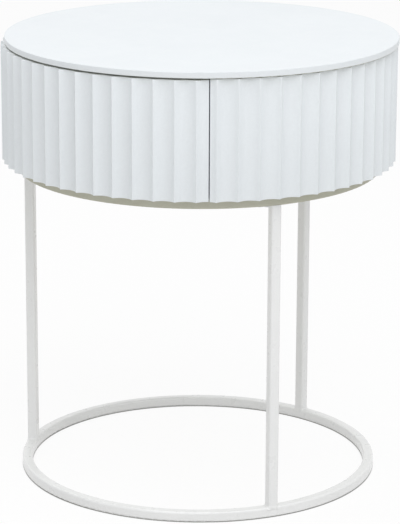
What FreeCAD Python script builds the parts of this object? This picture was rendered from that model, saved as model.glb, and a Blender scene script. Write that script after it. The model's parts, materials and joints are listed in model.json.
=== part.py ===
import FreeCAD, Part
import math
import os

# Round side table: a fluted drum with one drawer, under a thin round top, on a ring frame of square tube.
# Sizes are in millimetres. The origin is on the floor under the drum's axis, +Z is up and the drawer
# pulls out towards -Y. Right is +X, as seen by someone who faces the drawer. Angles about the axis are
# in degrees, 0 at the front and growing towards the right.

# Overall sizes
TABLE_HEIGHT = 459.8
DRUM_DIAMETER = 405.0  # over the arrises between the flutes
DRUM_HEIGHT = 121.2  # from the lower edge of the fluted shells to the underside of the top
TOP_INSET = 1.6  # how much smaller the top's radius is than the arrises'
TOP_THICKNESS = 6.3
TOP_EDGE_ROUND = 0.7
TOP_SETBACK = 2.4  # the top's centre lies this far behind the drum's axis
TOP_SHIFT = 1.6  # and this far to the right of it

# Fluted shells
FRONT_FLUTES = 61  # to a full turn, on the drawer front
REAR_FLUTES = 60  # to a full turn, on the rear shell
FLUTE_DEPTH = 4.5
ARRIS_ROUND = 0.6
SHELL_WALL = 11.0  # at the floor of a flute
SEAM_GAP = 1.0  # between the ends of the drawer front and of the rear shell
FRONT_FIRST_ARRIS = 3.6  # degrees from the right-hand seam to the drawer front's nearest arris
REAR_FIRST_ARRIS = 1.9  # degrees from the right-hand seam to the rear shell's nearest arris
DRAWER_TOP_GAP = 2.0  # between the drawer front and the top
REAR_TOP_GAP = 0.8  # between the rear shell and the top, which rests on the sub-top
SHELL_CLEARANCE = 0.5  # between the moving drawer front and the round panels inside it
GLUE_LINE = 0.2  # between curved faces that are glued

# Round panels and carcass
PANEL_THICKNESS = 12.0  # base panel and sub-top
PANEL_EDGE_ROUND = 1.0
BASE_DROP = 10.0  # how far the base panel shows below the shells
CARCASS_WIDTH = 236.0  # between the carcass sides
CARCASS_THICKNESS = 12.0
CARCASS_EDGE_INSET = 3.0  # from the ends of the carcass sides to the rim of the base panel
CARCASS_SCREW_SPREAD = 150.0
CARCASS_SCREW_LENGTH = 30.0

# Ring frame
TUBE_SIZE = 10.4  # over its coat of paint
TUBE_WALL = 1.2
TUBE_CORNER = 2.0
LEG_COPE = 2 / 3  # how much of the ring's rounded corner the foot of a leg reaches down over
FRAME_INSET = 0.5  # from the rim of the base panel to the outer face of the ring and legs
FRONT_LEG_ANGLE = -14.4
RIGHT_REAR_LEG_ANGLE = 111.3
LEFT_REAR_LEG_ANGLE = 227.7
PLATE_THICKNESS = 3.0
PLATE_WIDTH = 30.0
PLATE_LENGTH = 45.0
PLATE_CORNER = 6.0
BOLT_DIAMETER = 6.0
BOLT_HEAD_DIAMETER = 10.5
BOLT_HEAD_HEIGHT = 3.3
BOLT_SOCKET = 4.0  # across the flats
BOLT_END_INSET = 12.0  # from either end of a leg plate to its bolts
INSERT_DIAMETER = 9.0
INSERT_COVER = 2.0  # wood left above a threaded insert
FASTENER_CLEARANCE = 0.1

# Wood screws and runner screws
SCREW_HEAD = 7.0
SCREW_SHANK = 3.5
SCREW_RECESS_LENGTH = 4.0
SCREW_RECESS_WIDTH = 0.9
SCREW_RECESS_DEPTH = 1.2
RUNNER_SCREW_HEAD_HEIGHT = 0.9
RUNNER_SCREW_LENGTH = 9.0
RUNNER_SCREW_END_INSET = 28.0

# Drawer box
BOX_THICKNESS = 12.0
BOX_FLOOR_GAP = 8.0  # under the drawer sides
BOX_HEAD_GAP = 15.0  # above the drawer sides
BOX_REAR_GAP = 8.0  # behind the drawer back
BOTTOM_THICKNESS = 5.0
BOTTOM_RAISE = 6.0  # from the lower edge of a drawer side to its groove
GROOVE_DEPTH = 5.0
GROOVE_CLEARANCE = 0.15
BLOCK_WIDTH = 20.0
BLOCK_DEPTH = 16.0  # of a corner block along the drawer side
BLOCK_TOP_GAP = 12.0  # from a corner block to the top of the drawer side
BLOCK_SCREW_INSET = 10.0  # from the ends of a corner block to its screws into the front
BLOCK_SCREW_STEP = 11.0  # from its screws into the front to its screws into the drawer side
BLOCK_SCREW_BITE = 7.0  # how deep a corner block's screws go into the front and the drawer side
BACK_SCREW_INSET = 18.0

# Ball-bearing runners
RUNNER_SPACE = 12.7  # between a carcass side and a drawer side
RUNNER_HEIGHT = 35.0
RUNNER_SHEET = 1.2
RUNNER_END_GAP = 1.0  # to the front edge of the carcass side and to the carcass back
RUNNER_LIP = 2.3  # from the flanges of outer and middle members to the drawer side
MIDDLE_OFFSET = 3.0  # between the webs of the outer and middle members
INNER_FLANGE = 4.1
OUTER_BALL = 3.6
INNER_BALL = 3.0
BALL_CLEARANCE = 0.25
BALLS_PER_ROW = 6
CAGE_SHEET = 0.7
CAGE_GAP = 0.6  # between a cage's web and the web of the middle member
CAGE_LENGTH = 110.0
CAGE_FLANGE_TAIL = 0.9  # of a cage's flange past its balls

# Heights that follow from the sizes above
top_low = TABLE_HEIGHT - TOP_THICKNESS
drum_low = top_low - DRUM_HEIGHT
base_low = drum_low - BASE_DROP
base_high = base_low + PANEL_THICKNESS
sub_top_low = top_low - PANEL_THICKNESS
box_low = base_high + BOX_FLOOR_GAP
box_high = sub_top_low - BOX_HEAD_GAP
bottom_low = box_low + BOTTOM_RAISE
bottom_high = bottom_low + BOTTOM_THICKNESS
runner_z = (box_low + box_high) / 2

# Radii that follow
drum_radius = DRUM_DIAMETER / 2
top_radius = drum_radius - TOP_INSET
shell_inner_radius = drum_radius - FLUTE_DEPTH - SHELL_WALL
panel_radius = shell_inner_radius - SHELL_CLEARANCE
fitted_radius = shell_inner_radius - GLUE_LINE
tube_radius = panel_radius - FRAME_INSET - TUBE_SIZE / 2

# Plan of the carcass, the runners and the drawer box
carcass_inner = CARCASS_WIDTH / 2
carcass_outer = carcass_inner + CARCASS_THICKNESS
carcass_middle = carcass_inner + CARCASS_THICKNESS / 2
carcass_rear = math.sqrt(panel_radius ** 2 - carcass_outer ** 2) - CARCASS_EDGE_INSET
carcass_back_front = carcass_rear - CARCASS_THICKNESS
box_outer = carcass_inner - RUNNER_SPACE
box_inner = box_outer - BOX_THICKNESS
box_rear = carcass_back_front - BOX_REAR_GAP
box_back_front = box_rear - BOX_THICKNESS
runner_front = RUNNER_END_GAP - carcass_rear
runner_rear = carcass_back_front - RUNNER_END_GAP
runner_middle_y = (runner_front + runner_rear) / 2
block_inner = box_inner - BLOCK_WIDTH
block_rear = BLOCK_DEPTH - math.sqrt(fitted_radius ** 2 - box_inner ** 2)
block_high = box_high - BLOCK_TOP_GAP

UP = FreeCAD.Vector(0, 0, 1)
DOWN = FreeCAD.Vector(0, 0, -1)
FRONT = FreeCAD.Vector(0, -1, 0)
RIGHT = FreeCAD.Vector(1, 0, 0)
LEFT = FreeCAD.Vector(-1, 0, 0)
ORIGIN = FreeCAD.Vector(0, 0, 0)
SIDES = {"left": -1, "right": 1}
LEG_ANGLES = {
    "front": FRONT_LEG_ANGLE,
    "right_rear": RIGHT_REAR_LEG_ANGLE,
    "left_rear": LEFT_REAR_LEG_ANGLE,
}


def polar(angle, radius, z=0.0):
    """Point at an angle about the axis, measured from the front towards the right."""
    turn = math.radians(angle)
    return FreeCAD.Vector(radius * math.sin(turn), -radius * math.cos(turn), z)


def cuboid(low, high):
    """Box between two opposite corners."""
    size = [high[axis] - low[axis] for axis in range(3)]
    return Part.makeBox(size[0], size[1], size[2], FreeCAD.Vector(*low))


def disc(radius, low, high, centre=ORIGIN):
    """Upright cylinder between two heights."""
    return Part.makeCylinder(radius, high - low, centre + UP * low)


def eased_disc(radius, low, high, ease, centre=ORIGIN):
    """Disc with both rims rounded."""
    shape = disc(radius, low, high, centre)
    rims = [edge for edge in shape.Edges if edge.Closed]
    return shape.makeFillet(ease, rims)


def placed(shape, point, direction):
    """A shape that was made along +Z from the origin, moved to a point and turned to a direction."""
    shape.Placement = FreeCAD.Placement(point, FreeCAD.Rotation(UP, direction))
    return shape


def on_side(shape, side):
    """A right-hand piece, or its mirror image for the left."""
    if side == "right":
        return shape
    return shape.mirror(ORIGIN, RIGHT)


# Screws and bolts: each is made with its head at the origin and its shank along +Z.
def countersunk_screw(length, grow=0.0):
    """Wood screw with a flush cross-recessed head. With grow it is the hole that the screw sits in."""
    head_radius = SCREW_HEAD / 2 + grow
    shank_radius = SCREW_SHANK / 2 + grow
    cone = Part.makeCone(head_radius, shank_radius, head_radius - shank_radius)
    tip_length = SCREW_SHANK
    shank = Part.makeCylinder(shank_radius, length - tip_length)
    tip = Part.makeCone(shank_radius, shank_radius / 4, tip_length + grow, UP * (length - tip_length))
    screw = cone.fuse([shank, tip]).removeSplitter()
    if grow:
        return screw
    return screw.cut(cross_recess(0.0))


def runner_screw(grow=0.0):
    """Low-headed screw that holds a runner: its head stands on the web, its shank goes into the wood."""
    shank_radius = SCREW_SHANK / 2 + grow
    shank = Part.makeCylinder(shank_radius, RUNNER_SCREW_LENGTH + grow)
    if grow:
        return shank
    head = Part.makeCylinder(SCREW_HEAD / 2, RUNNER_SCREW_HEAD_HEIGHT, DOWN * RUNNER_SCREW_HEAD_HEIGHT)
    return shank.fuse(head).cut(cross_recess(-RUNNER_SCREW_HEAD_HEIGHT)).removeSplitter()


def cross_recess(start):
    """The two crossed slots in a screw head that starts at the given height."""
    half_length = SCREW_RECESS_LENGTH / 2
    half_width = SCREW_RECESS_WIDTH / 2
    end = start + SCREW_RECESS_DEPTH
    first = cuboid((-half_length, -half_width, start), (half_length, half_width, end))
    second = cuboid((-half_width, -half_length, start), (half_width, half_length, end))
    return first.fuse(second)


def frame_bolt():
    """Button-headed socket bolt. The underside of its head is at the origin."""
    length = PLATE_THICKNESS + PANEL_THICKNESS - 2 * INSERT_COVER
    shank = Part.makeCylinder(BOLT_DIAMETER / 2, length)
    head = Part.makeCylinder(BOLT_HEAD_DIAMETER / 2, BOLT_HEAD_HEIGHT, DOWN * BOLT_HEAD_HEIGHT)
    crown_edge = min(head.Edges, key=lambda edge: edge.CenterOfMass.z)
    head = head.makeFillet(BOLT_HEAD_HEIGHT / 2, [crown_edge])
    socket_corner_radius = BOLT_SOCKET / math.sqrt(3)
    corners = [polar(60 * step, socket_corner_radius, -BOLT_HEAD_HEIGHT) for step in range(7)]
    socket = Part.Face(Part.makePolygon(corners)).extrude(UP * (BOLT_HEAD_HEIGHT / 2))
    return head.cut(socket).fuse(shank).removeSplitter()


# Places of the screws: point of the head, direction and length.
def base_screw_places():
    """Up through the base panel into the carcass sides."""
    places = []
    for sign in SIDES.values():
        for end in (-1, 1):
            point = FreeCAD.Vector(sign * carcass_middle, end * CARCASS_SCREW_SPREAD / 2, base_low)
            places.append((point, UP, CARCASS_SCREW_LENGTH))
    return places


def sub_top_screw_places():
    """Down through the sub-top into the carcass sides."""
    return [
        (FreeCAD.Vector(point.x, point.y, top_low), DOWN, length)
        for point, direction, length in base_screw_places()
    ]


def side_screw_places(outer, y, length):
    """Inwards through both sides of a carcass or box, near the top and bottom of the drawer sides."""
    places = []
    for sign in SIDES.values():
        for z in (box_low + BACK_SCREW_INSET, box_high - BACK_SCREW_INSET):
            point = FreeCAD.Vector(sign * outer, y, z)
            places.append((point, RIGHT * -sign, length))
    return places


def carcass_back_screw_places():
    """Through the carcass sides into the ends of the carcass back."""
    middle = carcass_rear - CARCASS_THICKNESS / 2
    return side_screw_places(carcass_outer, middle, CARCASS_SCREW_LENGTH)


def drawer_back_screw_places():
    """Through the drawer sides into the ends of the drawer back."""
    middle = box_rear - BOX_THICKNESS / 2
    return side_screw_places(box_outer, middle, CARCASS_SCREW_LENGTH)


def block_front_screw_places():
    """Forwards through the corner blocks into the curved drawer front."""
    x = (block_inner + box_inner) / 2
    length = block_rear + math.sqrt(shell_inner_radius ** 2 - x ** 2) + BLOCK_SCREW_BITE
    places = []
    for sign in SIDES.values():
        for z in (bottom_high + BLOCK_SCREW_INSET, block_high - BLOCK_SCREW_INSET):
            places.append((FreeCAD.Vector(sign * x, block_rear, z), FRONT, length))
    return places


def block_side_screw_places():
    """Outwards through the corner blocks into the drawer sides."""
    inset = BLOCK_SCREW_INSET + BLOCK_SCREW_STEP
    y = block_rear - BLOCK_DEPTH / 2
    places = []
    for sign in SIDES.values():
        for z in (bottom_high + inset, block_high - inset):
            point = FreeCAD.Vector(sign * block_inner, y, z)
            places.append((point, RIGHT * sign, BLOCK_WIDTH + BLOCK_SCREW_BITE))
    return places


def screws_at(places):
    """One group of separate screws."""
    return Part.makeCompound([
        placed(countersunk_screw(length), point, direction) for point, direction, length in places
    ])


def bored(shape, places):
    """A piece with the holes for the screws at some places."""
    holes = [
        placed(countersunk_screw(length, FASTENER_CLEARANCE), point, direction)
        for point, direction, length in places
    ]
    return shape.cut(holes)


def runner_screw_places(web_x, direction):
    """Three screws along a right-hand runner: near its ends and at its middle."""
    rows = (runner_front + RUNNER_SCREW_END_INSET, runner_middle_y, runner_rear - RUNNER_SCREW_END_INSET)
    return [(FreeCAD.Vector(web_x, y, runner_z), direction) for y in rows]


outer_runner_screw_places = runner_screw_places(carcass_inner - RUNNER_SHEET, RIGHT)
inner_runner_screw_places = runner_screw_places(box_outer + RUNNER_SHEET, LEFT)


def runner_screws(places):
    """The runner screws of both sides as one group."""
    right = [placed(runner_screw(), point, direction) for point, direction in places]
    left = [on_side(screw, "left") for screw in right]
    return Part.makeCompound(right + left)


def runner_bored(shape, places):
    """A right-hand piece with the holes for its runner screws."""
    return shape.cut([placed(runner_screw(FASTENER_CLEARANCE), point, turn) for point, turn in places])


# Ring frame
def rounded_square(centre, across, along, size, corner):
    """Face of a square with rounded corners, in the plane of two directions."""
    reach = size / 2 - corner
    turns = [(across, along), (along, across * -1), (across * -1, along * -1), (along * -1, across)]
    edges = []
    ends = []
    for first, second in turns:
        middle = centre + (first + second) * reach
        start = middle + first * corner
        end = middle + second * corner
        bulge = middle + (first + second) * (corner / math.sqrt(2))
        edges.append(Part.Arc(start, bulge, end).toShape())
        ends.append((start, end))
    for this, following in zip(ends, ends[1:] + ends[:1]):
        edges.append(Part.LineSegment(this[1], following[0]).toShape())
    return Part.Face(Part.Wire(Part.__sortEdges__(edges)))


def tube_section(centre, across, along):
    """Cross-section of the square tube."""
    bore = TUBE_SIZE - 2 * TUBE_WALL
    outside = rounded_square(centre, across, along, TUBE_SIZE, TUBE_CORNER)
    return outside.cut(rounded_square(centre, across, along, bore, TUBE_CORNER * bore / TUBE_SIZE))


def base_ring():
    """Floor ring of square tube, butt-welded into a full circle."""
    section = tube_section(polar(0, tube_radius, TUBE_SIZE / 2), FRONT, UP)
    return section.Faces[0].revolve(ORIGIN, UP, 360)


def leg(angle):
    """Upright tube from the ring to the base panel, with its foot cut to the ring's rounded top."""
    outwards = polar(angle, 1)
    foot = TUBE_SIZE - LEG_COPE * TUBE_CORNER
    section = tube_section(polar(angle, tube_radius, foot), outwards, UP.cross(outwards))
    upright = section.Faces[0].extrude(UP * (base_low - foot))
    ring_face = rounded_square(polar(0, tube_radius, TUBE_SIZE / 2), FRONT, UP, TUBE_SIZE, TUBE_CORNER)
    return upright.cut(ring_face.revolve(ORIGIN, UP, 360))


def plate_bolt_points(angle):
    """Where the two bolts of a leg plate meet the underside of the base panel."""
    outer_end = tube_radius - TUBE_SIZE / 2
    radii = (outer_end - BOLT_END_INSET, outer_end - PLATE_LENGTH + BOLT_END_INSET)
    return [polar(angle, radius, base_low) for radius in radii]


def leg_plate(angle):
    """Plate under the base panel, welded to the inner face of a leg and pointing at the axis."""
    outer_end = tube_radius - TUBE_SIZE / 2
    inner_end = outer_end - PLATE_LENGTH
    low = base_low - PLATE_THICKNESS
    plate = cuboid((-PLATE_WIDTH / 2, -outer_end, low), (PLATE_WIDTH / 2, -inner_end, base_low))
    corners = [
        edge for edge in plate.Edges
        if abs(edge.tangentAt(edge.FirstParameter).z) > 0.9 and edge.CenterOfMass.y > -inner_end - 1
    ]
    plate = plate.makeFillet(PLATE_CORNER, corners)
    plate.rotate(ORIGIN, UP, angle)
    hole_radius = BOLT_DIAMETER / 2 + FASTENER_CLEARANCE
    holes = [
        Part.makeCylinder(hole_radius, PLATE_THICKNESS, point - UP * PLATE_THICKNESS)
        for point in plate_bolt_points(angle)
    ]
    return plate.cut(holes)


def all_bolt_points():
    """The bolt points of the three leg plates."""
    return [point for angle in LEG_ANGLES.values() for point in plate_bolt_points(angle)]


def frame_bolts():
    """Bolts from under the leg plates into the threaded inserts."""
    under_plate = DOWN * PLATE_THICKNESS
    return Part.makeCompound([placed(frame_bolt(), point + under_plate, UP) for point in all_bolt_points()])


def frame_inserts():
    """Threaded sleeves in the underside of the base panel."""
    length = PANEL_THICKNESS - INSERT_COVER
    bore_radius = BOLT_DIAMETER / 2 + FASTENER_CLEARANCE
    sleeves = []
    for point in all_bolt_points():
        outside = Part.makeCylinder(INSERT_DIAMETER / 2, length, point)
        sleeves.append(outside.cut(Part.makeCylinder(bore_radius, length, point)))
    return Part.makeCompound(sleeves)


# Round panels and carcass
def base_panel():
    """Round panel that carries the drum and shows as a shaded band under the shells."""
    hole_radius = INSERT_DIAMETER / 2 + FASTENER_CLEARANCE
    depth = PANEL_THICKNESS - INSERT_COVER + FASTENER_CLEARANCE
    holes = [Part.makeCylinder(hole_radius, depth, point) for point in all_bolt_points()]
    panel = eased_disc(panel_radius, base_low, base_high, PANEL_EDGE_ROUND).cut(holes)
    return bored(panel, base_screw_places())


def sub_top():
    """Round panel inside the shells that carries the thin top."""
    return bored(disc(panel_radius, sub_top_low, top_low), sub_top_screw_places())


def top_panel():
    """Thin round top."""
    centre = FreeCAD.Vector(TOP_SHIFT, TOP_SETBACK, 0)
    return eased_disc(top_radius, top_low, TABLE_HEIGHT, TOP_EDGE_ROUND, centre)


def carcass_side(side):
    """Upright panel that carries a runner."""
    low = (carcass_inner, -carcass_rear, base_high)
    high = (carcass_outer, carcass_rear, sub_top_low)
    panel = runner_bored(cuboid(low, high), outer_runner_screw_places)
    places = base_screw_places() + sub_top_screw_places() + carcass_back_screw_places()
    return bored(on_side(panel, side), places)


def carcass_back():
    """Upright panel between the carcass sides."""
    low = (-carcass_inner, carcass_back_front, base_high)
    high = (carcass_inner, carcass_rear, sub_top_low)
    return bored(cuboid(low, high), carcass_back_screw_places())


# Fluted shells
def fluted_face(flutes, first_arris):
    """Outline of the drum: round-bottomed flutes that meet at slightly rounded arrises."""
    pitch = 360.0 / flutes
    half_pitch = math.radians(pitch / 2)
    floor_radius = drum_radius - FLUTE_DEPTH
    arris_centre = drum_radius - ARRIS_ROUND
    reach = arris_centre * math.cos(half_pitch)
    # The flute's circle touches the flute floor and both neighbouring arris circles.
    spread = floor_radius ** 2 + arris_centre ** 2 - 2 * floor_radius * reach - ARRIS_ROUND ** 2
    flute_radius = spread / (2 * (reach + ARRIS_ROUND - floor_radius))
    flute_centre = floor_radius + flute_radius
    share = ARRIS_ROUND / (ARRIS_ROUND + flute_radius)
    touch_out = arris_centre + share * (flute_centre * math.cos(half_pitch) - arris_centre)
    touch_side = share * flute_centre * math.sin(half_pitch)
    touch_radius = math.hypot(touch_out, touch_side)
    touch_angle = math.degrees(math.atan2(touch_side, touch_out))
    edges = []
    for count in range(flutes):
        arris = first_arris + count * pitch
        start = polar(arris - touch_angle, touch_radius)
        end = polar(arris + touch_angle, touch_radius)
        following = polar(arris + pitch - touch_angle, touch_radius)
        edges.append(Part.Arc(start, polar(arris, drum_radius), end).toShape())
        edges.append(Part.Arc(end, polar(arris + pitch / 2, floor_radius), following).toShape())
    return Part.Face(Part.Wire(edges))


def fluted_half(flutes, first_arris, inner_radius, high, half):
    """Half of the fluted drum wall: half is -1 at the front and 1 at the rear."""
    outside = fluted_face(flutes, first_arris).extrude(UP * (high - drum_low))
    outside.translate(UP * drum_low)
    wall = outside.cut(disc(inner_radius, drum_low, high))
    ends = sorted((half * SEAM_GAP / 2, half * DRUM_DIAMETER))
    keep = cuboid((-DRUM_DIAMETER, ends[0], drum_low), (DRUM_DIAMETER, ends[1], high))
    return wall.common(keep)


def rear_shell():
    """Fixed rear half of the drum wall, glued to the rims of the base panel and the sub-top."""
    inner_radius = panel_radius + GLUE_LINE
    return fluted_half(REAR_FLUTES, 90 + REAR_FIRST_ARRIS, inner_radius, top_low - REAR_TOP_GAP, 1)


def drawer_front_shell():
    """Front half of the drum wall, which is the drawer's front."""
    high = top_low - DRAWER_TOP_GAP
    shell = fluted_half(FRONT_FLUTES, 90 - FRONT_FIRST_ARRIS, shell_inner_radius, high, -1)
    return bored(shell, block_front_screw_places())


# Drawer box
def fitted_to_front(shape):
    """A drawer piece trimmed to the hollow face of the drawer front."""
    return shape.common(disc(fitted_radius, 0, TABLE_HEIGHT))


def groove(outer, front, rear):
    """Space for the bottom panel and its play."""
    low = (-outer, front, bottom_low - GROOVE_CLEARANCE)
    return cuboid(low, (outer, rear, bottom_high + GROOVE_CLEARANCE))


def drawer_bottom():
    """Bottom panel, held in grooves in the sides and back, with its front edge along the curved front."""
    outer = box_inner + GROOVE_DEPTH - GROOVE_CLEARANCE
    rear = box_back_front + GROOVE_DEPTH - GROOVE_CLEARANCE
    return fitted_to_front(cuboid((-outer, -drum_radius, bottom_low), (outer, rear, bottom_high)))


def drawer_side(side):
    """Side of the drawer box, from the curved front to the drawer back."""
    panel = cuboid((box_inner, -drum_radius, box_low), (box_outer, box_rear, box_high))
    panel = fitted_to_front(panel)
    panel = panel.cut(groove(box_inner + GROOVE_DEPTH, -drum_radius, box_rear))
    panel = runner_bored(panel, inner_runner_screw_places)
    return bored(on_side(panel, side), drawer_back_screw_places() + block_side_screw_places())


def drawer_back():
    """Back of the drawer box, between its sides."""
    panel = cuboid((-box_inner, box_back_front, box_low), (box_inner, box_rear, box_high))
    panel = panel.cut(groove(box_inner, box_back_front, box_back_front + GROOVE_DEPTH))
    return bored(panel, drawer_back_screw_places())


def drawer_corner_block(side):
    """Block that ties a drawer side to the curved front."""
    piece = cuboid((block_inner, -drum_radius, bottom_high), (box_inner, block_rear, block_high))
    piece = on_side(fitted_to_front(piece), side)
    return bored(piece, block_front_screw_places() + block_side_screw_places())


# Ball-bearing runners, made for the right-hand side
outer_race = RUNNER_HEIGHT / 2 - RUNNER_SHEET
middle_half_height = outer_race - OUTER_BALL - 2 * BALL_CLEARANCE
inner_half_height = middle_half_height - RUNNER_SHEET - INNER_BALL - 2 * BALL_CLEARANCE
outer_ball_z = middle_half_height + BALL_CLEARANCE + OUTER_BALL / 2
inner_ball_z = inner_half_height + BALL_CLEARANCE + INNER_BALL / 2
middle_web_x = carcass_inner - RUNNER_SHEET - MIDDLE_OFFSET
flange_tip_x = box_outer + RUNNER_LIP
inner_tip_x = box_outer + RUNNER_SHEET + INNER_FLANGE
outer_cage_web_x = middle_web_x + CAGE_GAP + CAGE_SHEET
inner_cage_web_x = middle_web_x - RUNNER_SHEET - CAGE_GAP
outer_ball_x = (middle_web_x - RUNNER_SHEET + flange_tip_x) / 2
inner_ball_x = (inner_tip_x + flange_tip_x) / 2


def channel(web_x, tip_x, half_height, sheet, front, rear):
    """Channel along Y: its web's back is at web_x, and its flanges reach tip_x."""
    inside_x = web_x + math.copysign(sheet, tip_x - web_x)
    inside = half_height - sheet
    outline = [
        (web_x, -half_height), (tip_x, -half_height), (tip_x, -inside), (inside_x, -inside),
        (inside_x, inside), (tip_x, inside), (tip_x, half_height), (web_x, half_height),
        (web_x, -half_height),
    ]
    corners = [FreeCAD.Vector(x, front, runner_z + z) for x, z in outline]
    return Part.Face(Part.makePolygon(corners)).extrude(FRONT * (front - rear))


def runner_outer(side):
    """Outer runner member, screwed to the carcass side."""
    member = channel(carcass_inner, flange_tip_x, RUNNER_HEIGHT / 2, RUNNER_SHEET, runner_front, runner_rear)
    return on_side(runner_bored(member, outer_runner_screw_places), side)


def runner_middle(side):
    """Middle runner member, which rolls in the outer one."""
    member = channel(middle_web_x, flange_tip_x, middle_half_height, RUNNER_SHEET, runner_front, runner_rear)
    return on_side(member, side)


def runner_inner(side):
    """Inner runner member, screwed to the drawer side."""
    member = channel(box_outer, inner_tip_x, inner_half_height, RUNNER_SHEET, runner_front, runner_rear)
    return on_side(runner_bored(member, inner_runner_screw_places), side)


def ball_centres(x, z):
    """Centres of the two rows of balls in a right-hand cage."""
    step = CAGE_LENGTH / BALLS_PER_ROW
    first = runner_middle_y - CAGE_LENGTH / 2 + step / 2
    rows = (runner_z - z, runner_z + z)
    return [FreeCAD.Vector(x, first + count * step, row) for row in rows for count in range(BALLS_PER_ROW)]


def balls(x, z, diameter):
    """The balls of one level in both runners, as one group."""
    right = [Part.makeSphere(diameter / 2, centre) for centre in ball_centres(x, z)]
    left = [on_side(ball, "left") for ball in right]
    return Part.makeCompound(right + left)


def ball_cage(side, web_x, ball_x, ball_z, diameter):
    """Channel of thin sheet whose flanges have a hole round each ball."""
    tip_x = ball_x - diameter / 2 - CAGE_FLANGE_TAIL
    front = runner_middle_y - CAGE_LENGTH / 2
    cage = channel(web_x, tip_x, ball_z + CAGE_SHEET / 2, CAGE_SHEET, front, front + CAGE_LENGTH)
    hole_radius = diameter / 2 + BALL_CLEARANCE
    holes = [
        Part.makeCylinder(hole_radius, diameter, centre - UP * (diameter / 2))
        for centre in ball_centres(ball_x, ball_z)
    ]
    return on_side(cage.cut(holes), side)


def all_pieces():
    """Every piece by name."""
    pieces = {
        "base_ring": base_ring(),
        "frame_bolts": frame_bolts(),
        "frame_inserts": frame_inserts(),
        "base_panel": base_panel(),
        "base_screws": screws_at(base_screw_places()),
        "carcass_back": carcass_back(),
        "carcass_back_screws": screws_at(carcass_back_screw_places()),
        "sub_top": sub_top(),
        "sub_top_screws": screws_at(sub_top_screw_places()),
        "top_panel": top_panel(),
        "rear_shell": rear_shell(),
        "runner_outer_screws": runner_screws(outer_runner_screw_places),
        "runner_outer_balls": balls(outer_ball_x, outer_ball_z, OUTER_BALL),
        "runner_inner_balls": balls(inner_ball_x, inner_ball_z, INNER_BALL),
        "runner_inner_screws": runner_screws(inner_runner_screw_places),
        "drawer_front_shell": drawer_front_shell(),
        "drawer_bottom": drawer_bottom(),
        "drawer_back": drawer_back(),
        "drawer_back_screws": screws_at(drawer_back_screw_places()),
        "drawer_block_front_screws": screws_at(block_front_screw_places()),
        "drawer_block_side_screws": screws_at(block_side_screw_places()),
    }
    for name, angle in LEG_ANGLES.items():
        pieces["leg_" + name] = leg(angle)
        pieces["leg_plate_" + name] = leg_plate(angle)
    for side in SIDES:
        pieces["carcass_side_" + side] = carcass_side(side)
        pieces["runner_outer_" + side] = runner_outer(side)
        pieces["runner_outer_cage_" + side] = ball_cage(
            side, outer_cage_web_x, outer_ball_x, outer_ball_z, OUTER_BALL)
        pieces["runner_middle_" + side] = runner_middle(side)
        pieces["runner_inner_cage_" + side] = ball_cage(
            side, inner_cage_web_x, inner_ball_x, inner_ball_z, INNER_BALL)
        pieces["runner_inner_" + side] = runner_inner(side)
        pieces["drawer_side_" + side] = drawer_side(side)
        pieces["drawer_corner_block_" + side] = drawer_corner_block(side)
    return pieces


os.makedirs("parts", exist_ok=True)
for name, shape in all_pieces().items():
    shape.exportStep("parts/" + name + ".step")
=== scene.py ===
import json
import math

import bmesh
import bpy
from mathutils import Matrix, Vector


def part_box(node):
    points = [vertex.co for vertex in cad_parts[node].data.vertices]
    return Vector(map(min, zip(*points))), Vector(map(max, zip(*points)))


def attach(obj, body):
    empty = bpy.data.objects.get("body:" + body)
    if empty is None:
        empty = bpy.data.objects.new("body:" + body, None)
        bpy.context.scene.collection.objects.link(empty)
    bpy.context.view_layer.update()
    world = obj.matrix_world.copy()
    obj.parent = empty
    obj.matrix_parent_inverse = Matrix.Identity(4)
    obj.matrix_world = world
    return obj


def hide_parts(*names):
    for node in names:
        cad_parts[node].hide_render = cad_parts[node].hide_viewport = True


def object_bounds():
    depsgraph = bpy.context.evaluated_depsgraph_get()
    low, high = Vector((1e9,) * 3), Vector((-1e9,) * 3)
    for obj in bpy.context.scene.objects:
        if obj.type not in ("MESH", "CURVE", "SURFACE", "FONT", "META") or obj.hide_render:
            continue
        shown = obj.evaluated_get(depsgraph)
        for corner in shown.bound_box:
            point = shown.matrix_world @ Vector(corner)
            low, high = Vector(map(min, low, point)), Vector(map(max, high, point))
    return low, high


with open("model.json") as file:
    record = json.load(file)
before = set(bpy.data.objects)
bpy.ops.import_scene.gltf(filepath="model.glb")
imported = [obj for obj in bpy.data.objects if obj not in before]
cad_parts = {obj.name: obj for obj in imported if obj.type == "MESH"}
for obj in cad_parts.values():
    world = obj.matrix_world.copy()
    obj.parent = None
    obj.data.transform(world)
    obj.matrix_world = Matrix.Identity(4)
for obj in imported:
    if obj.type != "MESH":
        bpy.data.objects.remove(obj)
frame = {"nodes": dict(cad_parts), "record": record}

# The looks of the round side table, in metres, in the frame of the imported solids.
# Angles about the drum's axis are in degrees, 0 at the drawer (-Y) and growing towards +X.
cad_low, cad_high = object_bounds()

# Fluted wall of the drum
DRUM_RADIUS = 0.2025
FRONT_FLUTES = 61
REAR_FLUTES = 60
FLUTE_DEPTH = 0.0045
ARRIS_ROUND = 0.0006
SHELL_WALL = 0.011
SEAM_GAP = 0.001
FRONT_FIRST_ARRIS = 3.6
REAR_FIRST_ARRIS = 1.9
EDGE_EASE = 0.0007
END_EASE = 0.0005
ARRIS_STEPS = 4
FLUTE_STEPS = 14
EASE_STEPS = 4

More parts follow.
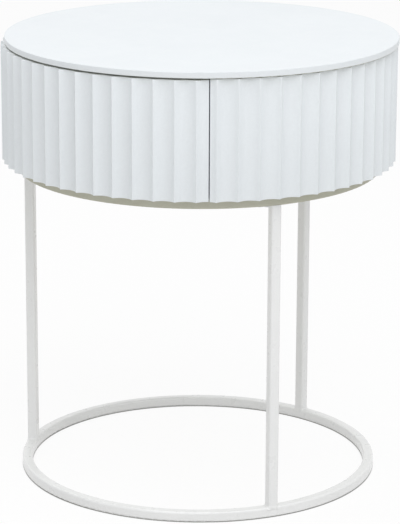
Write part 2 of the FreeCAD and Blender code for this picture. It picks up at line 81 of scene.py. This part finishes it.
# Ring frame
TUBE_SIZE = 0.0104
TUBE_CORNER = 0.002
LEG_ANGLES = {"front": -14.4, "right_rear": 111.3, "left_rear": 227.7}
WELD_SIDE = 0.0024
WELD_FACE = 0.0012
WELD_BULGE = 0.0004
WELD_RIPPLE = 0.06
WELD_RIPPLES = 22
WELD_SUNK = 0.0004
WELD_STEPS = 8
PLATE_WELD_LENGTH = 0.008
PLATE_WELD_STEPS = 24
PLATE_WELD_TAPER = 0.9
PLATE_WELD_HOLLOW = 1.4
WELD_SHARP_ANGLE = 60.0
CORNER_STEPS = 10
FLAT_STEPS = 8

# Camera, fitted to the outlines of the photographed table
PHOTO_WIDTH = 400
PHOTO_HEIGHT = 524
CAMERA_AZIMUTH = 87.16
CAMERA_DISTANCE = 2.6139
CAMERA_HEIGHT = 0.9435
CAMERA_PITCH = 15.5157
CAMERA_YAW = 0.0320
CAMERA_ROLL = 0.2344
FOCAL_PIXELS = 2599.3
SENSOR_SIZE = 36.0

# Light
AMBIENT = 0.585
KEY_POWER = 50.0
KEY_SIZE = 3.2
KEY_AZIMUTH = CAMERA_AZIMUTH + 17.0
KEY_ELEVATION = 54.0
BACK_POWER = 11.0
BACK_SIZE = 1.6
BACK_AZIMUTH = CAMERA_AZIMUTH + 215.0
BACK_ELEVATION = 55.0
LIGHT_DISTANCE = 3.0
FLOOR_SIZE = 40.0
FLOOR_DROP = 0.0003
FLOOR_GREY = (0.79, 0.785, 0.775)
FLOOR_WHITE = (0.97, 0.97, 0.97)
FLOOR_GLOW = 0.9
# Painted shadow on the floor: its glow is darkened where the ring stands close over it.
CONTACT_REACH = 0.0025
CONTACT_SHADOW_TONE = (0.2, 0.2, 0.19)
CONTACT_DARKEST = 0.3
CONTACT_LIGHTEST = 0.7
CONTACT_SAMPLES = 16


def polar(angle, radius, z=0.0):
    """Point at an angle about the drum's axis."""
    turn = math.radians(angle)
    return Vector((radius * math.sin(turn), -radius * math.cos(turn), z))


def add_object(name, mesh):
    """A new object in the scene."""
    obj = bpy.data.objects.new(name, mesh)
    bpy.context.scene.collection.objects.link(obj)
    return obj


def mesh_from(name, points, faces, sharp_angle=40.0):
    """A closed mesh with outward normals, smooth apart from edges sharper than an angle."""
    mesh = bpy.data.meshes.new(name)
    mesh.from_pydata(points, [], faces)
    work = bmesh.new()
    work.from_mesh(mesh)
    bmesh.ops.remove_doubles(work, verts=work.verts, dist=1e-7)
    bmesh.ops.recalc_face_normals(work, faces=work.faces)
    work.to_mesh(mesh)
    work.free()
    mesh.shade_smooth()
    mesh.set_sharp_from_angle(angle=math.radians(sharp_angle))
    return add_object(name, mesh)


# Materials
class Paint:
    """A node material that is being made, with short ways to add textures."""

    def __init__(self, name):
        self.material = bpy.data.materials.new(name)
        self.material.use_nodes = True
        self.nodes = self.material.node_tree.nodes
        self.links = self.material.node_tree.links
        self.shader = self.nodes["Principled BSDF"]
        coordinates = self.nodes.new("ShaderNodeTexCoord")
        self.place = coordinates.outputs["Object"]
        self.normal = coordinates.outputs["Normal"]

    def stretched(self, scale):
        """Object coordinates with a scale of their own along each axis."""
        mapping = self.nodes.new("ShaderNodeMapping")
        mapping.inputs["Scale"].default_value = scale
        self.links.new(self.place, mapping.inputs["Vector"])
        return mapping.outputs["Vector"]

    def noise(self, scale, detail=2.0, roughness=0.5, stretch=None):
        """Noise with about that many features to the metre."""
        node = self.nodes.new("ShaderNodeTexNoise")
        node.inputs["Scale"].default_value = scale
        node.inputs["Detail"].default_value = detail
        node.inputs["Roughness"].default_value = roughness
        self.links.new(self.stretched(stretch) if stretch else self.place, node.inputs["Vector"])
        return node.outputs["Fac"]

    def ramp(self, value, stops):
        """Colour ramp from (position, colour) stops."""
        node = self.nodes.new("ShaderNodeValToRGB")
        elements = node.color_ramp.elements
        elements[0].position, elements[0].color = stops[0][0], (*stops[0][1], 1)
        elements[1].position, elements[1].color = stops[-1][0], (*stops[-1][1], 1)
        for position, colour in stops[1:-1]:
            elements.new(position).color = (*colour, 1)
        self.links.new(value, node.inputs["Fac"])
        return node.outputs["Color"]

    def facing_down(self):
        """1 on faces that look straight down, 0 on upright ones and less on those that look up."""
        parts = self.nodes.new("ShaderNodeSeparateXYZ")
        self.links.new(self.normal, parts.inputs["Vector"])
        turned = self.nodes.new("ShaderNodeMath")
        turned.operation = "MULTIPLY"
        turned.inputs[1].default_value = -1.0
        self.links.new(parts.outputs["Z"], turned.inputs[0])
        return turned.outputs[0]

    def between(self, value, low, high):
        """A value from noise, spread over a range."""
        node = self.nodes.new("ShaderNodeMapRange")
        node.inputs["From Min"].default_value = 0.3
        node.inputs["From Max"].default_value = 0.7
        node.inputs["To Min"].default_value = low
        node.inputs["To Max"].default_value = high
        self.links.new(value, node.inputs["Value"])
        return node.outputs["Result"]

    def multiply(self, first, second, share):
        """Two colours multiplied, the second by a share."""
        node = self.nodes.new("ShaderNodeMix")
        node.data_type = "RGBA"
        node.blend_type = "MULTIPLY"
        node.inputs["Factor"].default_value = share
        self.links.new(first, node.inputs["A"])
        self.links.new(second, node.inputs["B"])
        return node.outputs["Result"]

    def bump(self, height, distance, under=None):
        """Surface relief of a depth in metres, on top of another relief."""
        node = self.nodes.new("ShaderNodeBump")
        node.inputs["Strength"].default_value = 1.0
        node.inputs["Distance"].default_value = distance
        self.links.new(height, node.inputs["Height"])
        if under:
            self.links.new(under, node.inputs["Normal"])
        return node.outputs["Normal"]

    def finish(self, colour, roughness, normal, metallic=0.0):
        """Links what varies, and sets what is the same all over on the shader itself."""
        self.links.new(colour, self.shader.inputs["Base Color"])
        self.links.new(roughness, self.shader.inputs["Roughness"])
        self.links.new(normal, self.shader.inputs["Normal"])
        self.shader.inputs["Metallic"].default_value = metallic
        return self.material


def lacquer(name, dark, light, streaks=0.0, shade_colour_below=None):
    """Satin lacquer on board: clouded white with orange peel, streaked where routed, with painted shade on
    faces that look down when a shade colour is given.
    """
    paint = Paint(name)
    colour = paint.ramp(paint.noise(9.0, 4.0, 0.6), [(0.3, dark), (0.7, light)])
    grain = paint.ramp(paint.noise(420.0, 3.0, 0.6), [(0.35, (0.965, 0.965, 0.965)), (0.65, (1, 1, 1))])
    colour = paint.multiply(colour, grain, 0.5)
    if shade_colour_below:
        # Painted shade: faces that look down, such as the lower edge of the top's rim and its underside, are
        # darkened towards a cream shade colour.
        shade_below_mask = paint.ramp(paint.facing_down(), [(0.5, (1, 1, 1)), (0.8, shade_colour_below)])
        colour = paint.multiply(colour, shade_below_mask, 1.0)
    roughness = paint.between(paint.noise(60.0, 3.0), 0.34, 0.46)
    normal = paint.bump(paint.noise(700.0, 2.0), 0.00003)
    if streaks:
        normal = paint.bump(paint.noise(900.0, 2.0, stretch=(1, 1, 0.02)), streaks, under=normal)
    return paint.finish(colour, roughness, normal)


def primer(name):
    """Matt cream primer on board: brushed streaks and the felted fibres that show through."""
    paint = Paint(name)
    colour = paint.ramp(
        paint.noise(16.0, 4.0, 0.6),
        [(0.3, (0.535, 0.53, 0.433)), (0.7, (0.57, 0.565, 0.468))])
    fibres = paint.noise(700.0, 5.0, 0.7)
    colour = paint.multiply(colour, paint.ramp(fibres, [(0.35, (0.95, 0.945, 0.93)), (0.6, (1, 1, 1))]), 0.6)
    roughness = paint.between(paint.noise(80.0, 3.0), 0.6, 0.75)
    return paint.finish(colour, roughness, paint.bump(fibres, 0.00005))


def powder_coat(name):
    """Powder-coated steel: fine pebbled skin with a glossy film over it."""
    paint = Paint(name)
    colour = paint.ramp(paint.noise(14.0, 3.0), [(0.3, (0.878, 0.886, 0.889)), (0.7, (0.902, 0.91, 0.913))])
    fleck = paint.ramp(paint.noise(1600.0, 2.0), [(0.35, (0.95, 0.95, 0.945)), (0.6, (1, 1, 1))])
    colour = paint.multiply(colour, fleck, 0.6)
    roughness = paint.between(paint.noise(90.0, 3.0), 0.26, 0.36)
    coarse = paint.bump(paint.noise(650.0, 2.0), 0.00002)
    normal = paint.bump(paint.noise(1800.0, 2.0), 0.000012, under=coarse)
    paint.shader.inputs["Coat Weight"].default_value = FILM_WEIGHT
    paint.shader.inputs["Coat Roughness"].default_value = FILM_ROUGHNESS
    return paint.finish(colour, roughness, normal)


def white_board(name):
    """White-faced board: faint pores along the board and a dull sheen."""
    paint = Paint(name)
    colour = paint.ramp(paint.noise(11.0, 3.0), [(0.3, (0.79, 0.79, 0.77)), (0.7, (0.83, 0.83, 0.815))])
    pores = paint.noise(900.0, 3.0, stretch=(1, 0.06, 1))
    shade = paint.ramp(pores, [(0.35, (0.93, 0.925, 0.915)), (0.55, (1, 1, 1))])
    colour = paint.multiply(colour, shade, 0.6)
    roughness = paint.between(paint.noise(70.0, 3.0), 0.42, 0.56)
    return paint.finish(colour, roughness, paint.bump(pores, 0.00004))


def raw_mdf(name):
    """Bare MDF: brown felted fibres with darker and paler flecks."""
    paint = Paint(name)
    colour = paint.ramp(
        paint.noise(260.0, 6.0, 0.7),
        [(0.3, (0.36, 0.25, 0.155)), (0.5, (0.47, 0.345, 0.225)), (0.72, (0.57, 0.44, 0.31))])
    clouds = paint.ramp(paint.noise(18.0, 3.0), [(0.3, (0.9, 0.89, 0.87)), (0.7, (1, 1, 1))])
    colour = paint.multiply(colour, clouds, 0.8)
    roughness = paint.between(paint.noise(150.0, 3.0), 0.78, 0.92)
    return paint.finish(colour, roughness, paint.bump(paint.noise(1100.0, 4.0, 0.7), 0.00008))


def zinc_plate(name):
    """Zinc-plated steel: rolling marks along the strip and a clouded passivated skin."""
    paint = Paint(name)
    colour = paint.ramp(
        paint.noise(120.0, 4.0, 0.6),
        [(0.3, (0.61, 0.62, 0.63)), (0.5, (0.64, 0.645, 0.645)), (0.7, (0.665, 0.665, 0.655))])
    marks = paint.noise(2200.0, 2.0, stretch=(1, 0.015, 1))
    roughness = paint.between(marks, 0.26, 0.42)
    return paint.finish(colour, roughness, paint.bump(marks, 0.00002), metallic=1.0)


def ball_steel(name):
    """Polished bearing balls with a trace of grease."""
    paint = Paint(name)
    colour = paint.ramp(paint.noise(500.0, 2.0), [(0.3, (0.68, 0.68, 0.67)), (0.7, (0.78, 0.78, 0.78))])
    film = paint.noise(800.0, 3.0)
    return paint.finish(colour, paint.between(film, 0.07, 0.2), paint.bump(film, 0.000005), metallic=1.0)


WHITE_DARK = (0.812, 0.853, 0.881)
WHITE_LIGHT = (0.832, 0.873, 0.901)
# Painted light: the fluted walls take the same white lacquer made a little lighter, standing in for the
# light that upright walls get less of.
BRIGHTENED_WALL_DARK = (0.828, 0.869, 0.898)
BRIGHTENED_WALL_LIGHT = (0.848, 0.889, 0.918)
# Cream colour of the painted shade on the top's faces that look down.
PAINTED_SHADE_BELOW = (0.65, 0.62, 0.5)
FILM_WEIGHT = 0.5
FILM_ROUGHNESS = 0.12
slots = {
    "white_lacquer": lacquer("lacquer_flat", WHITE_DARK, WHITE_LIGHT),
    "cream_primer": primer("cream_primer"),
    "white_powder_coat": powder_coat("powder_coat"),
    "white_board": white_board("white_board"),
    "raw_mdf": raw_mdf("raw_mdf"),
    "zinc_plated_steel": zinc_plate("zinc_plate"),
    "ball_steel": ball_steel("ball_steel"),
}
# The fluted walls' lacquer: routing streaks in its relief, and a lighter colour as painted light.
routed_brightened_lacquer = lacquer("lacquer_routed_brightened", BRIGHTENED_WALL_DARK, BRIGHTENED_WALL_LIGHT, streaks=0.00002)
top_lacquer = lacquer("lacquer_top", WHITE_DARK, WHITE_LIGHT, shade_colour_below=PAINTED_SHADE_BELOW)

slot_of = {row["node"]: row["material_slot"] for row in frame["record"]["subparts"]}
for node, obj in frame["nodes"].items():
    obj.data.materials.clear()
    obj.data.materials.append(top_lacquer if node == "top_panel" else slots[slot_of[node]])


# Fluted shells
def flute_profile(pitch):
    """Circles of the flutes and arrises: radii, centres and the angle where they touch."""
    half_pitch = math.radians(pitch / 2)
    floor_radius = DRUM_RADIUS - FLUTE_DEPTH
    arris_centre = DRUM_RADIUS - ARRIS_ROUND
    reach = arris_centre * math.cos(half_pitch)
    spread = floor_radius ** 2 + arris_centre ** 2 - 2 * floor_radius * reach - ARRIS_ROUND ** 2
    flute_radius = spread / (2 * (reach + ARRIS_ROUND - floor_radius))
    flute_centre = floor_radius + flute_radius
    share = ARRIS_ROUND / (ARRIS_ROUND + flute_radius)
    touch_out = arris_centre + share * (flute_centre * math.cos(half_pitch) - arris_centre)
    touch_side = share * flute_centre * math.sin(half_pitch)
    touch_angle = math.degrees(math.atan2(touch_side, touch_out))
    return arris_centre, flute_centre, flute_radius, touch_angle


def outline_angles(pitch, first_arris, start, end, touch_angle):
    """Angles to sample from start to end: close together on the arrises and evenly in the flutes."""
    angles = {start, end}
    first = math.floor((start - first_arris) / pitch) - 1
    last = math.ceil((end - first_arris) / pitch) + 1
    for count in range(first, last):
        arris = first_arris + count * pitch
        for step in range(ARRIS_STEPS + 1):
            angles.add(arris - touch_angle + 2 * touch_angle * step / ARRIS_STEPS)
        gap = pitch - 2 * touch_angle
        for step in range(1, FLUTE_STEPS):
            angles.add(arris + touch_angle + gap * step / FLUTE_STEPS)
    end_width = math.degrees(END_EASE / DRUM_RADIUS)
    for step in range(1, EASE_STEPS + 1):
        inset = end_width * step / EASE_STEPS
        angles.update((start + inset, end - inset))
    return sorted(angle for angle in angles if start <= angle <= end)


def surface_at(angle, pitch, first_arris, profile):
    """Radius and outward normal of the fluted face at an angle about the axis."""
    arris_centre, flute_centre, flute_radius, touch_angle = profile
    from_arris = (angle - first_arris + pitch / 2) % pitch - pitch / 2
    if abs(from_arris) <= touch_angle:
        turn = math.radians(from_arris)
        across = arris_centre * math.sin(turn)
        radius = arris_centre * math.cos(turn) + math.sqrt(ARRIS_ROUND ** 2 - across ** 2)
        normal = polar(angle, radius) - polar(angle - from_arris, arris_centre)
    else:
        from_floor = from_arris - math.copysign(pitch / 2, from_arris)
        turn = math.radians(from_floor)
        across = flute_centre * math.sin(turn)
        radius = flute_centre * math.cos(turn) - math.sqrt(flute_radius ** 2 - across ** 2)
        normal = polar(angle - from_floor, flute_centre) - polar(angle, radius)
    return radius, normal.normalized()


def fluted_shell(name, node, body, flutes, first_arris, middle):
    """Half of the fluted wall with eased edges, standing for a CAD shell whose middle is at an angle."""
    low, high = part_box(node)
    pitch = 360.0 / flutes
    profile = flute_profile(pitch)
    inner_radius = DRUM_RADIUS - FLUTE_DEPTH - SHELL_WALL
    half_gap = math.degrees(SEAM_GAP / 2 / DRUM_RADIUS)
    start = middle - 90 + half_gap
    end = middle + 90 - half_gap
    angles = outline_angles(pitch, first_arris, start, end, profile[3])
    eases = [math.pi / 2 * step / EASE_STEPS for step in range(EASE_STEPS + 1)]
    rows = [(EDGE_EASE * (1 - math.sin(t)), low.z + EDGE_EASE * (1 - math.cos(t))) for t in eases]
    rows += [(inset, low.z + high.z - z) for inset, z in reversed(rows)]
    points = []
    for angle in angles:
        radius, normal = surface_at(angle, pitch, first_arris, profile)
        from_end = math.radians(min(angle - start, end - angle)) * DRUM_RADIUS
        missing = max(0.0, END_EASE - from_end)
        end_inset = END_EASE - math.sqrt(END_EASE ** 2 - missing ** 2)
        base = polar(angle, radius - end_inset)
        points.append(polar(angle, inner_radius, low.z))
        points += [base - normal * inset + Vector((0, 0, z)) for inset, z in rows]
        points.append(polar(angle, inner_radius, high.z))
    count = len(rows) + 2
    faces = []
    for column in range(len(angles) - 1):
        for row in range(count):
            following = (row + 1) % count
            here = column * count
            there = here + count
            faces.append((here + row, there + row, there + following, here + following))
    faces.append(tuple(range(count)))
    faces.append(tuple(range(len(points) - count, len(points))))
    obj = mesh_from(name, points, faces)
    obj.data.materials.append(routed_brightened_lacquer)
    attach(obj, body)
    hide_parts(node)


fluted_shell("fluted_front", "drawer_front_shell", "drawer", FRONT_FLUTES, 90 - FRONT_FIRST_ARRIS, 0.0)
fluted_shell("fluted_rear", "rear_shell", "frame", REAR_FLUTES, 90 + REAR_FIRST_ARRIS, 180.0)


# Welds where the legs stand on the ring
def tube_outline():
    """Rounded square outline of the tube: (sideways, outwards) points with their normals."""
    flat = TUBE_SIZE / 2 - TUBE_CORNER
    outline = []
    for quarter in range(4):
        for step in range(CORNER_STEPS + 1):
            turn = math.pi / 2 * (quarter + step / CORNER_STEPS)
            normal = Vector((math.cos(turn), math.sin(turn)))
            middle = math.pi / 2 * (quarter + 0.5)
            centre = Vector((math.cos(middle), math.sin(middle))) * flat * math.sqrt(2)
            outline.append((centre + normal * TUBE_CORNER, normal))
        start, normal = outline[-1]
        run = Vector((-normal.y, normal.x)) * 2 * flat
        for step in range(1, FLAT_STEPS):
            outline.append((start + run * step / FLAT_STEPS, normal))
    return outline


def ring_height(out):
    """Height of the ring's upper surface at a distance outwards from the middle of its tube."""
    past_flat = max(0.0, abs(out) - (TUBE_SIZE / 2 - TUBE_CORNER))
    return TUBE_SIZE - TUBE_CORNER + math.sqrt(max(0.0, TUBE_CORNER ** 2 - past_flat ** 2))


def weld_section(place, normal, swell):
    """Section of the bead round a leg's foot: hollow at its sides, bulging where leg and ring are flush."""
    side = abs(normal.x)
    reach = WELD_SIDE * side * swell
    rise = (WELD_FACE + (WELD_SIDE - WELD_FACE) * side) * swell
    foot = place + normal * reach
    seam = ring_height(place.y)
    start = Vector((place.x, place.y, TUBE_SIZE + rise))
    end = Vector((foot.x, foot.y, ring_height(foot.y) - WELD_FACE * (1 - side)))
    outwards = Vector((normal.x, normal.y, 0))
    hollow = Vector((place.x, place.y, seam))
    bulging = (start + end) / 2 + outwards * 2 * WELD_BULGE
    control = bulging.lerp(hollow, side)
    inside = hollow - outwards * 2 * WELD_SUNK - Vector((0, 0, 2 * WELD_SUNK))
    section = [inside, start - outwards * WELD_SUNK]
    for step in range(WELD_STEPS + 1):
        share = step / WELD_STEPS
        section.append(start.lerp(control, share).lerp(control.lerp(end, share), share))
    section.append(end - outwards * WELD_SUNK * (1 - side) - Vector((0, 0, WELD_SUNK * side)))
    return section


def foot_weld(name, angle):
    """Painted bead all round the foot of a leg."""
    ring_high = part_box("base_ring")[1]
    outwards = polar(angle, 1)
    sideways = Vector((outwards.y, -outwards.x, 0))
    middle = outwards * (ring_high.y - TUBE_SIZE / 2)
    outline = tube_outline()
    points = []
    for count, (place, normal) in enumerate(outline):
        ripple = math.sin(2 * math.pi * WELD_RIPPLES * count / len(outline))
        for point in weld_section(place, normal, 1 + WELD_RIPPLE * ripple):
            points.append(middle + sideways * point.x + outwards * point.y + Vector((0, 0, point.z)))
    row = len(points) // len(outline)
    faces = []
    for count in range(len(outline)):
        here = count * row
        there = (count + 1) % len(outline) * row
        for step in range(row):
            following = (step + 1) % row
            faces.append((here + step, there + step, there + following, here + following))
    obj = mesh_from(name, points, faces, WELD_SHARP_ANGLE)
    obj.data.materials.append(slots["white_powder_coat"])
    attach(obj, "frame")


def plate_weld(name, angle):
    """Painted bead under a leg's plate, along the inner face of the leg."""
    ring_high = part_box("base_ring")[1]
    plate_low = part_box("leg_plate_front")[0]
    outwards = polar(angle, 1)
    sideways = Vector((outwards.y, -outwards.x, 0))
    up = Vector((0, 0, 1))
    corner = outwards * (ring_high.y - TUBE_SIZE) + up * plate_low.z
    points = []
    for count in range(PLATE_WELD_STEPS + 1):
        along = 2 * count / PLATE_WELD_STEPS - 1
        ripple = 1 + WELD_RIPPLE * math.cos(math.pi * count / 2)
        size = WELD_SIDE * ripple * math.sqrt(1 - PLATE_WELD_TAPER * along ** 4)
        place = corner + sideways * (along * PLATE_WELD_LENGTH / 2)
        points.append(place + (outwards + up) * WELD_SUNK)
        points.append(place - outwards * size + up * WELD_SUNK)
        for step in range(WELD_STEPS + 1):
            turn = math.pi / 2 * step / WELD_STEPS
            out_share = math.cos(turn) ** PLATE_WELD_HOLLOW
            down_share = math.sin(turn) ** PLATE_WELD_HOLLOW
            points.append(place - (outwards * out_share + up * down_share) * size)
        points.append(place + outwards * WELD_SUNK - up * size)
    row = WELD_STEPS + 4
    faces = [tuple(range(row)), tuple(range(len(points) - row, len(points)))]
    for count in range(PLATE_WELD_STEPS):
        here = count * row
        for step in range(row):
            following = (step + 1) % row
            faces.append((here + step, here + row + step, here + row + following, here + following))
    obj = mesh_from(name, points, faces, WELD_SHARP_ANGLE)
    obj.data.materials.append(slots["white_powder_coat"])
    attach(obj, "frame")


for leg_name, leg_angle in LEG_ANGLES.items():
    foot_weld("foot_weld_" + leg_name, leg_angle)
    plate_weld("plate_weld_" + leg_name, leg_angle)


# Stage: pale floor, white background and soft light
def seen_directly(nodes, links):
    """1 where the camera, a reflection or glass looks, and 0 for light that bounces."""
    path = nodes.new("ShaderNodeLightPath")
    first = nodes.new("ShaderNodeMath")
    first.operation = "MAXIMUM"
    second = nodes.new("ShaderNodeMath")
    second.operation = "MAXIMUM"
    links.new(path.outputs["Is Camera Ray"], first.inputs[0])
    links.new(path.outputs["Is Glossy Ray"], first.inputs[1])
    links.new(first.outputs[0], second.inputs[0])
    links.new(path.outputs["Is Transmission Ray"], second.inputs[1])
    return second.outputs[0]


def make_floor():
    """Pale floor that looks almost white, with a faint shadow and a painted contact shadow as a dark line
    under the ring.
    """
    half = FLOOR_SIZE / 2
    corners = [(-half, -half), (half, -half), (half, half), (-half, half)]
    points = [(x, y, -FLOOR_DROP) for x, y in corners]
    mesh = bpy.data.meshes.new("floor")
    mesh.from_pydata(points, [], [(0, 1, 2, 3)])
    floor = add_object("floor", mesh)
    material = bpy.data.materials.new("floor")
    material.use_nodes = True
    nodes = material.node_tree.nodes
    links = material.node_tree.links
    nodes.clear()
    output = nodes.new("ShaderNodeOutputMaterial")
    mix = nodes.new("ShaderNodeMixShader")
    seen = seen_directly(nodes, links)
    tone = nodes.new("ShaderNodeMix")
    tone.data_type = "RGBA"
    tone.inputs["A"].default_value = (*FLOOR_GREY, 1)
    tone.inputs["B"].default_value = (*FLOOR_WHITE, 1)
    links.new(seen, tone.inputs["Factor"])
    diffuse = nodes.new("ShaderNodeBsdfDiffuse")
    links.new(tone.outputs["Result"], diffuse.inputs["Color"])
    nearness = nodes.new("ShaderNodeAmbientOcclusion")
    nearness.samples = CONTACT_SAMPLES
    nearness.inputs["Distance"].default_value = CONTACT_REACH
    # Painted shadow: the floor's white glow is darkened towards this tone where the ambient occlusion finds
    # the ring close by.
    contact = nodes.new("ShaderNodeValToRGB")
    contact.color_ramp.elements[0].position = CONTACT_DARKEST
    contact.color_ramp.elements[0].color = (*CONTACT_SHADOW_TONE, 1)
    contact.color_ramp.elements[1].position = CONTACT_LIGHTEST
    links.new(nearness.outputs["AO"], contact.inputs["Fac"])
    white = nodes.new("ShaderNodeEmission")
    white.inputs["Strength"].default_value = 1.0
    links.new(contact.outputs["Color"], white.inputs["Color"])
    share = nodes.new("ShaderNodeMath")
    share.operation = "MULTIPLY"
    share.inputs[1].default_value = FLOOR_GLOW
    links.new(seen, share.inputs[0])
    links.new(share.outputs[0], mix.inputs["Fac"])
    links.new(diffuse.outputs[0], mix.inputs[1])
    links.new(white.outputs[0], mix.inputs[2])
    links.new(mix.outputs[0], output.inputs["Surface"])
    mesh.materials.append(material)


def make_world():
    """White to look at, and a plain soft light all round."""
    world = bpy.data.worlds.new("studio")
    bpy.context.scene.world = world
    world.use_nodes = True
    nodes = world.node_tree.nodes
    links = world.node_tree.links
    nodes.clear()
    output = nodes.new("ShaderNodeOutputWorld")
    mix = nodes.new("ShaderNodeMixShader")
    light = nodes.new("ShaderNodeBackground")
    light.inputs["Color"].default_value = (1, 1, 1, 1)
    light.inputs["Strength"].default_value = AMBIENT
    white = nodes.new("ShaderNodeBackground")
    white.inputs["Color"].default_value = (1, 1, 1, 1)
    white.inputs["Strength"].default_value = 1.0
    links.new(seen_directly(nodes, links), mix.inputs["Fac"])
    links.new(light.outputs[0], mix.inputs[1])
    links.new(white.outputs[0], mix.inputs[2])
    links.new(mix.outputs[0], output.inputs["Surface"])


def softbox(name, azimuth, elevation, size, power):
    """Square soft light that faces the middle of the table."""
    data = bpy.data.lights.new(name, "AREA")
    data.shape = "SQUARE"
    data.size = size
    data.energy = power
    obj = bpy.data.objects.new(name, data)
    bpy.context.scene.collection.objects.link(obj)
    rise = math.radians(elevation)
    away = polar(azimuth, LIGHT_DISTANCE * math.cos(rise), LIGHT_DISTANCE * math.sin(rise))
    obj.location = (cad_low + cad_high) / 2 + away
    obj.rotation_mode = "QUATERNION"
    obj.rotation_quaternion = (-away).to_track_quat("-Z", "Y")


def make_lights():
    """A large softbox in front, above and to the right, and a smaller one behind on the left."""
    softbox("key", KEY_AZIMUTH, KEY_ELEVATION, KEY_SIZE, KEY_POWER)
    softbox("back", BACK_AZIMUTH, BACK_ELEVATION, BACK_SIZE, BACK_POWER)


def make_camera():
    """Camera at the photograph's place, turned and framed as it is."""
    data = bpy.data.cameras.new("camera")
    data.sensor_fit = "AUTO"
    data.sensor_width = SENSOR_SIZE
    data.lens = FOCAL_PIXELS * SENSOR_SIZE / max(PHOTO_WIDTH, PHOTO_HEIGHT)
    data.clip_start = 0.05
    data.clip_end = 100.0
    camera = bpy.data.objects.new("camera", data)
    bpy.context.scene.collection.objects.link(camera)
    place = polar(CAMERA_AZIMUTH, CAMERA_DISTANCE, CAMERA_HEIGHT)
    pitch = math.radians(CAMERA_PITCH)
    ahead = polar(CAMERA_AZIMUTH + 180 - CAMERA_YAW, math.cos(pitch), -math.sin(pitch))
    right = ahead.cross(Vector((0, 0, 1))).normalized()
    up = right.cross(ahead)
    roll = math.radians(CAMERA_ROLL)
    rolled_right = right * math.cos(roll) + up * math.sin(roll)
    rolled_up = up * math.cos(roll) - right * math.sin(roll)
    turn = Matrix((rolled_right, rolled_up, -ahead)).transposed()
    camera.matrix_world = Matrix.Translation(place) @ turn.to_4x4()
    bpy.context.scene.camera = camera


make_floor()
make_world()
make_lights()
make_camera()
bpy.context.scene.view_settings.view_transform = "Standard"
